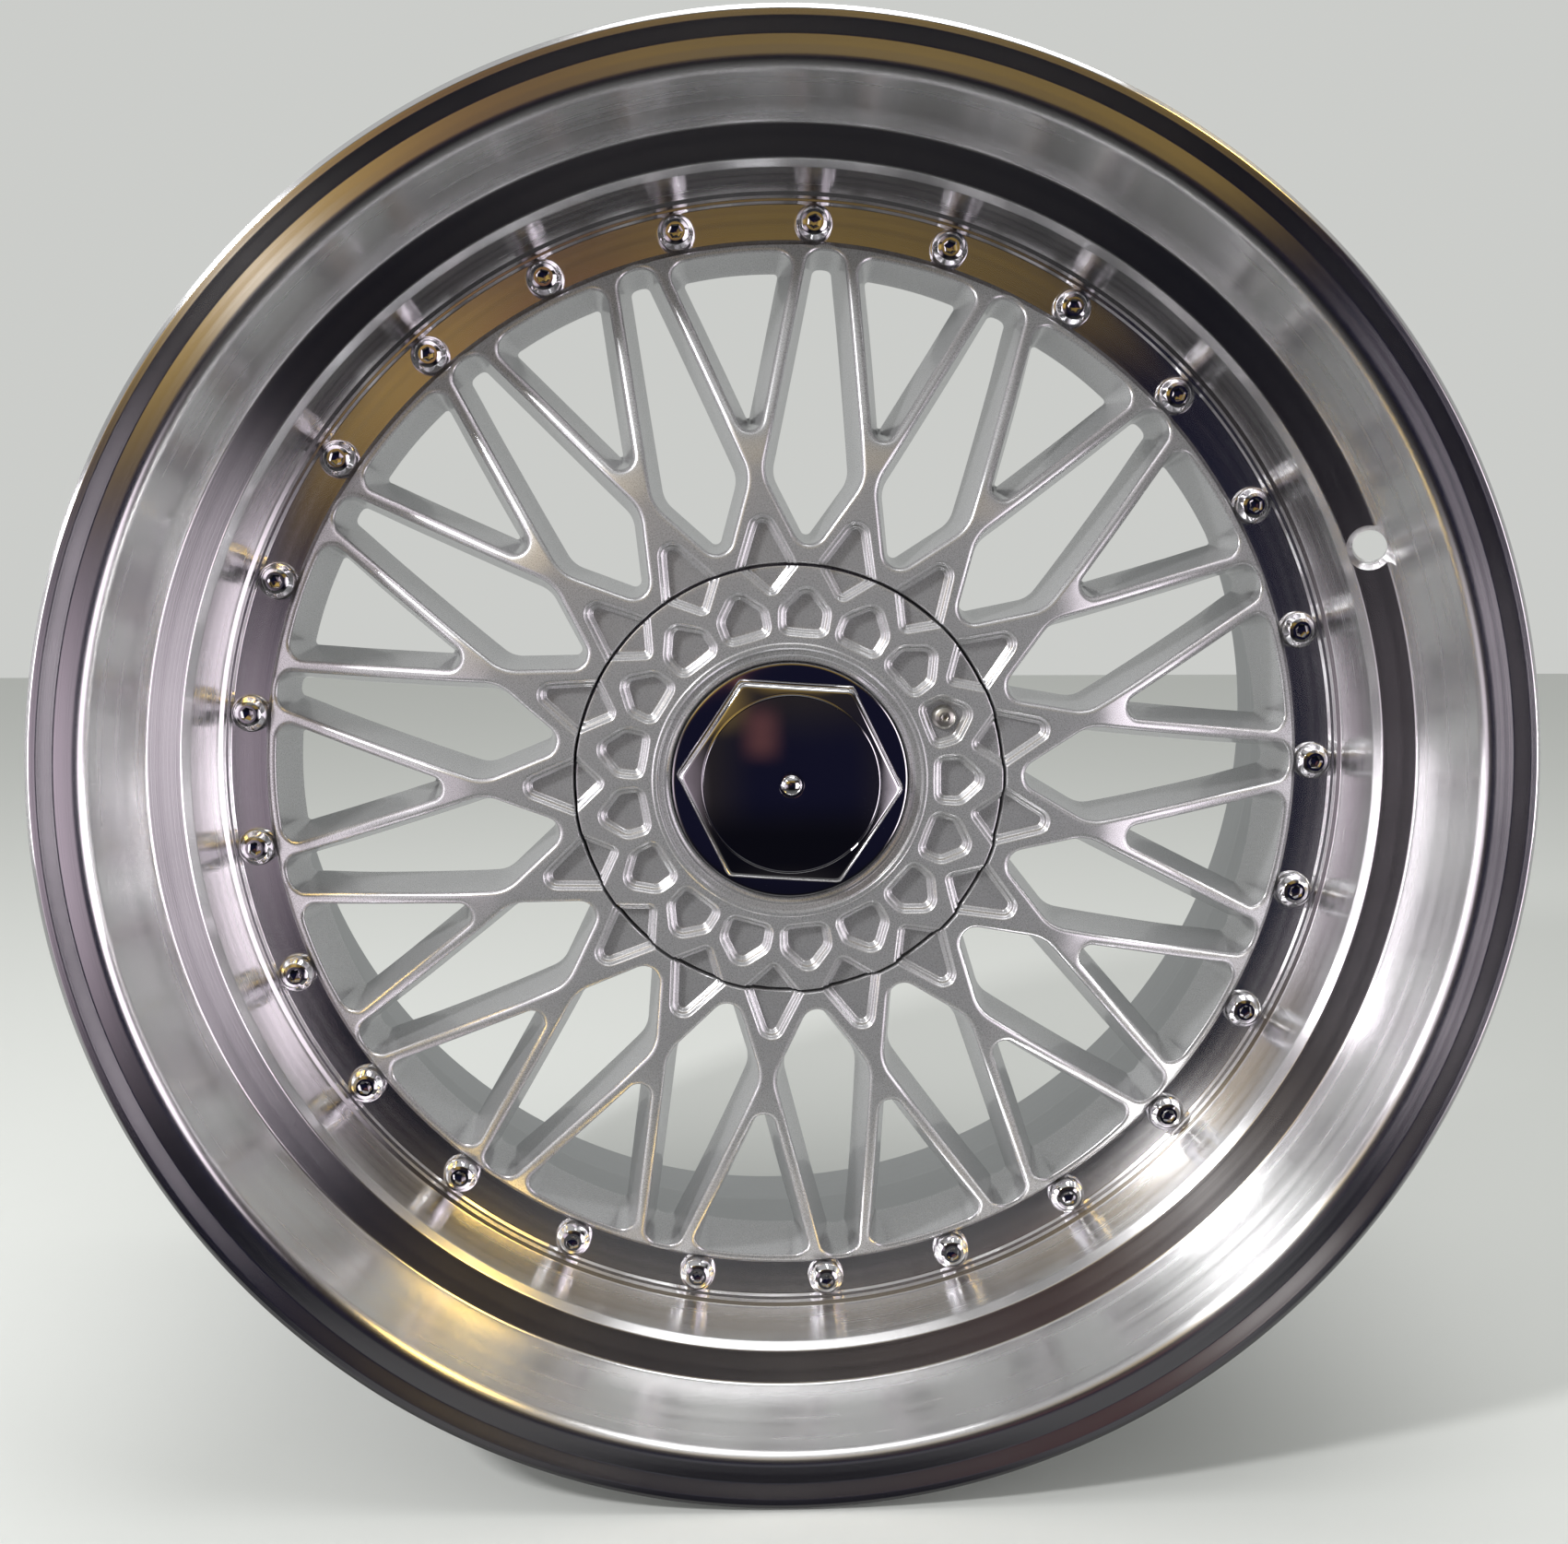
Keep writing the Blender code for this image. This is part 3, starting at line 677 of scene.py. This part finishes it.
def bolt_mesh():
    """Domed chrome head with a hexagon socket, and its shank."""
    seat = BAND_DEPTH - 0.3
    profile = filleted([
        (0, seat - 5.6, 0), (3.3, seat - 5.6, 0.4), (4.5, seat - 5.1, 1.2), (6.3, seat - 3.2, 2.2),
        (6.8, seat - 1.4, 0.8), (6.1, seat, 0.3), (3.5, seat, 0), (3.5, 101.2, 0.4), (2.8, 102.0, 0),
        (0, 102.0, 0),
    ], 5)
    return boolean_mesh("assembly_bolt_turned", lathe("bolt", profile, 48, closed=False),
                        [hex_socket(4.6, seat - 8.0, seat - 2.6)])


def nut_mesh():
    """Chamfered hexagon nut with a thin washer face."""
    front = 93.3
    rings = [round_ring(3.9, front), round_ring(6.3, front), round_ring(6.3, front + 0.5),
             hex_ring(11.6, 0.4, front + 0.6), hex_ring(11.9, 0.4, front + 1.1),
             hex_ring(11.9, 0.4, front + 5.0),
             lambda angle: (min(hexagon_radius(angle, 11.9, 0.4), 6.4), front + 5.5),
             round_ring(5.7, front + 6.0), round_ring(4.4, front + 6.0), round_ring(3.9, front + 5.5),
             round_ring(3.9, front)]
    return ring_loft("assembly_nut_cut", rings, 48)


def cap_screw_mesh():
    head = PLATE_LEVEL + POCKET_WALL[-1][1] - 0.05
    profile = filleted([
        (0, head - 2.5, 0), (1.9, head - 2.5, 0.4), (3.4, head - 1.9, 1.2), (4.3, head - 0.6, 0.6),
        (4.3, head, 0), (2.0, head, 0), (2.0, head + 24.0, 0), (0, head + 24.0, 0),
    ], 4)
    mesh = boolean_mesh("cap_screw_turned", lathe("screw", profile, 40, closed=False),
                        [hex_socket(2.6, head - 5.0, head - 1.2)])
    return shifted(mesh, SCREW_R, SCREW_ANGLE)


def cap_carrier_mesh():
    profile = filleted([
        (30.0, 62.0, 0.5), (34.0, 62.0, 0.5), (34.0, 84.7, 0.6), (42.5, 84.7, 0.5), (42.5, 87.7, 0.3),
        (36.25, 87.7, 0), (36.25, 92.7, 0.5), (30.0, 92.7, 0.5),
    ], 3)
    return lathe("cap_carrier_turned", profile, 96)


# ---------------------------------------------------------------- materials

def node(tree, kind, **settings):
    made = tree.nodes.new(kind)
    for key, value in settings.items():
        setattr(made, key, value)
    return made


def new_material(name, colour, metallic, roughness):
    material = bpy.data.materials.new(name)
    material.use_nodes = True
    tree = material.node_tree
    shader = tree.nodes["Principled BSDF"]
    shader.inputs["Base Color"].default_value = (*colour, 1)
    shader.inputs["Metallic"].default_value = metallic
    shader.inputs["Roughness"].default_value = roughness
    return material, tree, shader


def math_node(tree, operation, first, second=None):
    made = node(tree, "ShaderNodeMath", operation=operation)
    for index, value in enumerate((first, second)):
        if value is None:
            continue
        if isinstance(value, (int, float)):
            made.inputs[index].default_value = value
        else:
            tree.links.new(value, made.inputs[index])
    return made.outputs[0]


def ramp(tree, value, low, high, from_low=0.0, from_high=1.0):
    made = node(tree, "ShaderNodeMapRange")
    made.inputs["From Min"].default_value = from_low
    made.inputs["From Max"].default_value = from_high
    made.inputs["To Min"].default_value = low
    made.inputs["To Max"].default_value = high
    tree.links.new(value, made.inputs["Value"])
    return made.outputs["Result"]


def wheel_radius(tree):
    """Distance from the wheel's axis and place along it, in metres, from object coordinates."""
    coords = node(tree, "ShaderNodeTexCoord")
    parts = node(tree, "ShaderNodeSeparateXYZ")
    tree.links.new(coords.outputs["Object"], parts.inputs[0])
    squares = math_node(tree, "ADD", math_node(tree, "MULTIPLY", parts.outputs["X"], parts.outputs["X"]),
                        math_node(tree, "MULTIPLY", parts.outputs["Z"], parts.outputs["Z"]))
    return math_node(tree, "SQRT", squares), parts.outputs["Y"], coords.outputs["Object"]


def ring_noise(tree, radius, along, scale, detail):
    """Noise that is the same all round the wheel: it changes only with radius and depth."""
    spot = node(tree, "ShaderNodeCombineXYZ")
    tree.links.new(radius, spot.inputs["X"])
    tree.links.new(along, spot.inputs["Y"])
    noise = node(tree, "ShaderNodeTexNoise", noise_dimensions="2D")
    noise.inputs["Scale"].default_value = scale
    noise.inputs["Detail"].default_value = detail
    tree.links.new(spot.outputs[0], noise.inputs["Vector"])
    return noise.outputs["Fac"]


def bump_of(tree, height, strength, distance):
    """A bump node over the given height, with its depth in metres."""
    bump = node(tree, "ShaderNodeBump")
    bump.inputs["Strength"].default_value = strength
    bump.inputs["Distance"].default_value = distance
    tree.links.new(height, bump.inputs["Height"])
    return bump


def turned_metal(name, colour, roughness, anisotropy, groove, spread_rough, wall_extra):
    """Metal turned on a lathe: rings of fine grooves about the axis, rougher on walls than on faces."""
    material, tree, shader = new_material(name, colour, 1.0, roughness)
    radius, along, place = wheel_radius(tree)
    fine = ring_noise(tree, radius, along, 2600, 2)
    broad = ring_noise(tree, radius, along, 260, 3)
    smudge = node(tree, "ShaderNodeTexNoise")
    smudge.inputs["Scale"].default_value = 9
    smudge.inputs["Detail"].default_value = 4
    tree.links.new(place, smudge.inputs["Vector"])
    bump = bump_of(tree, math_node(tree, "ADD", fine, broad), groove, 0.00004)
    tree.links.new(bump.outputs["Normal"], shader.inputs["Normal"])
    mixed = math_node(tree, "MULTIPLY", broad, smudge.outputs["Fac"])
    normal = node(tree, "ShaderNodeTexCoord").outputs["Normal"]
    facing = node(tree, "ShaderNodeSeparateXYZ")
    tree.links.new(normal, facing.inputs[0])
    wall = ramp(tree, math_node(tree, "ABSOLUTE", facing.outputs["Y"]), wall_extra, 0.0, 0.3, 0.9)
    gloss = ramp(tree, mixed, roughness - spread_rough, roughness + spread_rough, 0.1, 0.42)
    tree.links.new(math_node(tree, "ADD", gloss, wall), shader.inputs["Roughness"])
    tangent = node(tree, "ShaderNodeTangent", direction_type="RADIAL", axis="Y")
    tree.links.new(tangent.outputs["Tangent"], shader.inputs["Tangent"])
    shader.inputs["Anisotropic"].default_value = anisotropy
    shader.inputs["Anisotropic Rotation"].default_value = 0.25
    return material


def flake_paint(name, colour, roughness, flake, coat, rings=0.0):
    """Fine metallic paint under a clear coat, over the faint rings of a spun surface if asked."""
    material, tree, shader = new_material(name, colour, 0.70, roughness)
    coords = node(tree, "ShaderNodeTexCoord")
    flakes = node(tree, "ShaderNodeTexVoronoi")
    flakes.inputs["Scale"].default_value = 6500
    tree.links.new(coords.outputs["Object"], flakes.inputs["Vector"])
    shade = node(tree, "ShaderNodeSeparateColor")
    tree.links.new(flakes.outputs["Color"], shade.inputs["Color"])
    cloud = node(tree, "ShaderNodeTexNoise")
    cloud.inputs["Scale"].default_value = 30
    cloud.inputs["Detail"].default_value = 3
    tree.links.new(coords.outputs["Object"], cloud.inputs["Vector"])
    tone = node(tree, "ShaderNodeMix", data_type="RGBA", blend_type="MULTIPLY")
    tone.inputs[0].default_value = 1.0
    tone.inputs[6].default_value = (*colour, 1)
    grey = math_node(tree, "ADD", ramp(tree, shade.outputs[0], 0.94, 1.05),
                     ramp(tree, cloud.outputs["Fac"], -0.05, 0.05))
    tree.links.new(grey, tone.inputs[7])
    tree.links.new(tone.outputs[2], shader.inputs["Base Color"])
    gloss = ramp(tree, shade.outputs[1], roughness - 0.02, roughness + 0.03)
    tree.links.new(gloss, shader.inputs["Roughness"])
    bump = bump_of(tree, shade.outputs[2], flake, 0.0001)
    if rings:
        radius, along, _ = wheel_radius(tree)
        under = bump_of(tree, ring_noise(tree, radius, along, 420, 3), rings, 0.0003)
        tree.links.new(under.outputs["Normal"], bump.inputs["Normal"])
    tree.links.new(bump.outputs["Normal"], shader.inputs["Normal"])
    shader.inputs["Coat Weight"].default_value = coat
    shader.inputs["Coat Roughness"].default_value = 0.07
    return material


def chrome_metal(name):
    material, tree, shader = new_material(name, (0.80, 0.80, 0.82), 1.0, 0.05)
    coords = node(tree, "ShaderNodeTexCoord")
    haze = node(tree, "ShaderNodeTexNoise")
    haze.inputs["Scale"].default_value = 45
    haze.inputs["Detail"].default_value = 5
    tree.links.new(coords.outputs["Object"], haze.inputs["Vector"])
    tree.links.new(ramp(tree, haze.outputs["Fac"], 0.02, 0.07, 0.35, 0.7), shader.inputs["Roughness"])
    bump = bump_of(tree, haze.outputs["Fac"], 0.05, 0.0004)
    tree.links.new(bump.outputs["Normal"], shader.inputs["Normal"])
    return material


def plain_detail(name, colour, metallic, roughness, scale, strength):
    """Plated steel or rubber: mottled tone, uneven gloss and a fine grain."""
    material, tree, shader = new_material(name, colour, metallic, roughness)
    coords = node(tree, "ShaderNodeTexCoord")
    grain = node(tree, "ShaderNodeTexNoise")
    grain.inputs["Scale"].default_value = scale
    grain.inputs["Detail"].default_value = 6
    tree.links.new(coords.outputs["Object"], grain.inputs["Vector"])
    tone = node(tree, "ShaderNodeMix", data_type="RGBA")
    tone.inputs[6].default_value = (*[channel * 0.75 for channel in colour], 1)
    tone.inputs[7].default_value = (*[min(1, channel * 1.2) for channel in colour], 1)
    tree.links.new(grain.outputs["Fac"], tone.inputs[0])
    tree.links.new(tone.outputs[2], shader.inputs["Base Color"])
    gloss = ramp(tree, grain.outputs["Fac"], roughness - 0.1, roughness + 0.1, 0.3, 0.7)
    tree.links.new(gloss, shader.inputs["Roughness"])
    bump = bump_of(tree, grain.outputs["Fac"], strength, 0.0002)
    tree.links.new(bump.outputs["Normal"], shader.inputs["Normal"])
    return material


# ---------------------------------------------------------------- build the pieces

def build_pieces():
    """Make every piece, and return the outer lip."""
    polished = turned_metal("polished_lip", (0.87, 0.865, 0.87), 0.18, 0.92, 0.22, 0.05, 0.07)
    silver = flake_paint("silver_paint", (0.62, 0.62, 0.635), 0.28, 0.008, 0.85)
    barrel_paint = flake_paint("barrel_paint", (0.52, 0.53, 0.54), 0.40, 0.008, 0.15, 0.3)
    chrome = chrome_metal("chrome")
    zinc = plain_detail("zinc_steel", (0.56, 0.55, 0.51), 1.0, 0.36, 160, 0.15)
    rubber = plain_detail("black_rubber", (0.03, 0.03, 0.03), 0.0, 0.7, 220, 0.3)

    lip = add_piece("outer_lip_detail", outer_lip_mesh(), "wheel", ["outer_lip"],
                    polished)
    weight_normals(lip)
    add_piece("inner_barrel_detail", inner_barrel_mesh(), "wheel", ["inner_barrel"],
              barrel_paint)
    disc = joined("centre_disc_forged", [centre_disc_mesh(), hub_mesh()])
    weight_normals(add_piece("centre_disc_detail", disc, "wheel", ["centre_disc"],
                             silver, 40))
    weight_normals(add_piece("cap_plate_detail", cap_plate_mesh(), "cap_plate", ["cap_plate"],
                             silver, 40))
    seal = lathe("seal", filleted([(211.8, 77.65, 0.2), (WELL_R, 75.65, 0.3), (WELL_R, 79.65, 0.3)], 3))
    add_piece("joint_seal_detail", seal, "wheel", ["joint_seal"], rubber)
    add_piece("cap_carrier_detail", cap_carrier_mesh(), "wheel", ["cap_carrier"], zinc)
    add_piece("hex_cap_detail", hex_cap_mesh(), "hex_cap", ["hex_cap"], chrome, 28)
    add_piece("cap_stud_detail", cap_stud_mesh(), "hex_cap", ["cap_stud"], chrome)
    turns = [math.radians(22.5 * step) for step in range(16)]
    ring = [(38.2 + 2.2 * math.cos(turn), 45.3 + 1.55 * math.sin(turn)) for turn in turns]
    add_piece("cap_o_ring_detail", lathe("o_ring", ring, 96), "hex_cap", ["cap_o_ring"],
              rubber)
    add_piece("cap_screw_detail", cap_screw_mesh(), "cap_screw", ["cap_screw"], zinc)
    bolt = bolt_mesh()
    nut = nut_mesh()
    for mesh, material in ((bolt, chrome), (nut, zinc)):
        mesh.materials.clear()
        mesh.materials.append(material)
        mesh.shade_smooth()
        mesh.set_sharp_from_angle(angle=math.radians(32))
    for index in range(BOLTS):
        angle = BOLT_PHASE + index * 360 / BOLTS
        turn = math.radians(angle)
        spot = Vector((math.cos(turn), 0, math.sin(turn))) * BOLT_CIRCLE_R * MM
        tightened = Matrix.Rotation(-3 * turn, 4, "Y")      # so that no two sockets end up alike
        for kind, mesh, slot in (("bolt", bolt, "chrome"), ("nut", nut, "zinc_steel")):
            piece = bpy.data.objects.new(f"assembly_{kind}_{index + 1:02d}_detail", mesh)
            bpy.context.scene.collection.objects.link(piece)
            piece.matrix_world = Matrix.Translation(spot) @ tightened
            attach(piece, "wheel")
            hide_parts(f"assembly_{kind}_{index + 1:02d}")
    return lip


# ---------------------------------------------------------------- studio

def add_camera():
    data = bpy.data.cameras.new("camera")
    data.sensor_width = 36
    data.lens = 40.02
    data.clip_start = 0.01
    camera = bpy.data.objects.new("camera", data)
    bpy.context.scene.collection.objects.link(camera)
    right = Vector((0.99923, -0.03926, 0.0))
    up = Vector((0.00489, 0.12437, 0.99222))
    back = right.cross(up)
    turn = Matrix((right, up, back)).transposed().to_4x4()
    camera.matrix_world = Matrix.Translation((-0.0259, -0.6958, 0.0790)) @ turn
    bpy.context.scene.camera = camera


def add_softbox(name, place, target, size, colour, edge=0.0, receivers=None):
    """A rectangular light, as bright as its colour, that fades over its edge, a share of half its size.

    It lights everything, or what the collection of receivers says.
    """
    data = bpy.data.lights.new(name, "AREA")
    data.shape = "RECTANGLE"
    data.size, data.size_y = size
    data.energy = math.pi * size[0] * size[1]
    data.color = colour
    light = bpy.data.objects.new(name, data)
    bpy.context.scene.collection.objects.link(light)
    light.location = place
    light.rotation_euler = (Vector(target) - Vector(place)).to_track_quat("-Z", "Y").to_euler()
    light.visible_camera = False
    light.light_linking.receiver_collection = receivers
    if edge:
        data.use_nodes = True
        tree = data.node_tree
        spot = node(tree, "ShaderNodeNewGeometry")
        parts = node(tree, "ShaderNodeSeparateXYZ")
        tree.links.new(spot.outputs["Parametric"], parts.inputs[0])
        masks = []
        for axis in ("X", "Y"):
            off = math_node(tree, "ABSOLUTE", math_node(tree, "SUBTRACT", parts.outputs[axis], 0.5))
            soft = node(tree, "ShaderNodeMapRange", interpolation_type="SMOOTHSTEP")
            soft.inputs["From Min"].default_value = 0.5
            soft.inputs["From Max"].default_value = 0.5 - edge / 2
            tree.links.new(off, soft.inputs["Value"])
            masks.append(soft.outputs["Result"])
        tree.links.new(math_node(tree, "MULTIPLY", *masks), tree.nodes["Emission"].inputs["Strength"])


def add_floor():
    """The pale floor. Returns the collection that makes a light leave it out."""
    material, _, _ = new_material("studio_floor", (0.66, 0.67, 0.65), 0.0, 0.7)
    mesh = bpy.data.meshes.new("studio_floor")
    size = 4.0
    gap = 0.0005
    level = cad_box[0].z - gap
    verts = [(-size, -size, level), (size, -size, level), (size, size, level), (-size, size, level)]
    mesh.from_pydata(verts, [], [(0, 1, 2, 3)])
    mesh.materials.append(material)
    floor = bpy.data.objects.new("studio_floor", mesh)
    bpy.context.scene.collection.objects.link(floor)
    floor.visible_glossy = False
    # The lights close to the floor leave it out, or it would show a bright pool under each of them.
    left_out = bpy.data.collections.new("floor_left_out")
    left_out.objects.link(floor)
    left_out.collection_objects[0].light_linking.link_state = "EXCLUDE"
    return left_out


# What mirror-like surfaces see round the studio: soft cards as (azimuth from the front, height,
# half width, half height, edge, colour), in degrees. Each is laid over the ones before it.
CARDS = [
    (0, 0, 90, 90, 20, (0.024, 0.020, 0.020)),
    (0, 68, 120, 28, 12, (0.46, 0.46, 0.46)),
    (0, -72, 200, 34, 16, (0.06, 0.06, 0.06)),
    (47, -4, 16, 20, 3, (2.0, 1.8, 1.97)),
    (-60, 0, 14, 26, 6, (0.60, 0.57, 0.60)),
    (6, -6, 22, 18, 10, (0.007, 0.007, 0.020)),
    (-6, 7, 4, 6, 4, (0.10, 0.042, 0.045)),
    (2, -26, 26, 10, 7, (0.004, 0.004, 0.007)),
]


def add_world():
    world = bpy.data.worlds.new("studio")
    bpy.context.scene.world = world
    world.use_nodes = True
    tree = world.node_tree
    coords = node(tree, "ShaderNodeTexCoord")
    parts = node(tree, "ShaderNodeSeparateXYZ")
    tree.links.new(coords.outputs["Generated"], parts.inputs[0])
    ahead = math_node(tree, "MULTIPLY", parts.outputs["Y"], -1)
    azimuth = math_node(tree, "ARCTAN2", parts.outputs["X"], ahead)
    height = math_node(tree, "ARCSINE", parts.outputs["Z"])
    colour = None
    for across, up, half_across, half_up, edge, tint in CARDS:
        masks = []
        for value, middle, half in ((azimuth, across, half_across), (height, up, half_up)):
            off = math_node(tree, "ABSOLUTE", math_node(tree, "SUBTRACT", value, math.radians(middle)))
            soft = node(tree, "ShaderNodeMapRange", interpolation_type="SMOOTHSTEP")
            soft.inputs["From Min"].default_value = math.radians(half + edge)
            soft.inputs["From Max"].default_value = math.radians(half - edge)
            tree.links.new(off, soft.inputs["Value"])
            masks.append(soft.outputs["Result"])
        over = node(tree, "ShaderNodeMix", data_type="RGBA")
        tree.links.new(math_node(tree, "MULTIPLY", *masks), over.inputs[0])
        if colour is None:
            over.inputs[6].default_value = (0.42, 0.43, 0.42, 1)
        else:
            tree.links.new(colour, over.inputs[6])
        over.inputs[7].default_value = (*tint, 1)
        colour = over.outputs[2]
    background = tree.nodes["Background"]
    tree.links.new(colour, background.inputs["Color"])
    plain = node(tree, "ShaderNodeBackground")
    plain.inputs["Color"].default_value = (0.60, 0.61, 0.59, 1)
    path = node(tree, "ShaderNodeLightPath")
    choice = node(tree, "ShaderNodeMixShader")
    tree.links.new(path.outputs["Is Glossy Ray"], choice.inputs[0])
    tree.links.new(plain.outputs[0], choice.inputs[1])
    tree.links.new(background.outputs[0], choice.inputs[2])
    tree.links.new(choice.outputs[0], tree.nodes["World Output"].inputs["Surface"])


# ---------------------------------------------------------------- put it together

lip_only = bpy.data.collections.new("lip_only")
lip_only.objects.link(build_pieces())
add_camera()
left_out = add_floor()
add_world()
# Name, place, target, size, colour, edge and what it lights.
SOFTBOXES = [
    ("key_light", (-1.15, -1.0, 1.0), (0, 0, 0), (0.17, 0.17), (220, 220, 220), 0.0, None),
    ("side_light", (-1.5, -0.5, 0.1), (0, 0, 0), (0.5, 0.8), (4.2, 4.0, 4.2), 0.0, left_out),
    ("low_light", (1.5, -0.75, -0.12), (0, 0, 0), (0.12, 0.30), (14, 13.5, 14), 0.0, left_out),
    ("top_light", (0.2, -0.1, 1.8), (0, 0, 0), (1.2, 1.2), (3.6, 3.6, 3.6), 0.0, None),
    ("warm_light", (0.88, -0.62, 1.10), (0, 0, 0), (0.40, 0.40), (16.0, 10.5, 2.0), 0.6, lip_only),
    ("streak_light", (-0.90, -0.30, 0.80), (0, 0, 0), (0.16, 0.16), (75, 75, 76), 0.0, lip_only),
    ("second_streak_light", (-1.15, -0.30, 0.33), (0, 0, 0), (0.10, 0.10), (60, 57, 60), 0.0, lip_only),
    ("warm_card_top", (0.12, -0.78, 0.38), (0.12, 0, 0.20), (0.70, 0.26), (0.22, 0.145, 0.03),
     0.5, left_out),
    ("warm_card_left", (-0.44, -0.78, 0.33), (-0.30, 0, 0.2), (0.70, 0.52), (0.50, 0.33, 0.08),
     0.8, left_out),
    ("pink_card_left", (-0.60, -0.78, -0.10), (-0.35, 0, -0.05), (0.62, 0.56), (0.72, 0.60, 0.70),
     0.9, left_out),
    ("floor_card", (0.0, -0.24, -0.247), (0, -0.24, 1), (1.0, 0.18), (0.07, 0.07, 0.07), 0.5, left_out),
]
for softbox in SOFTBOXES:
    add_softbox(*softbox)
bpy.context.scene.view_settings.view_transform = "Standard"
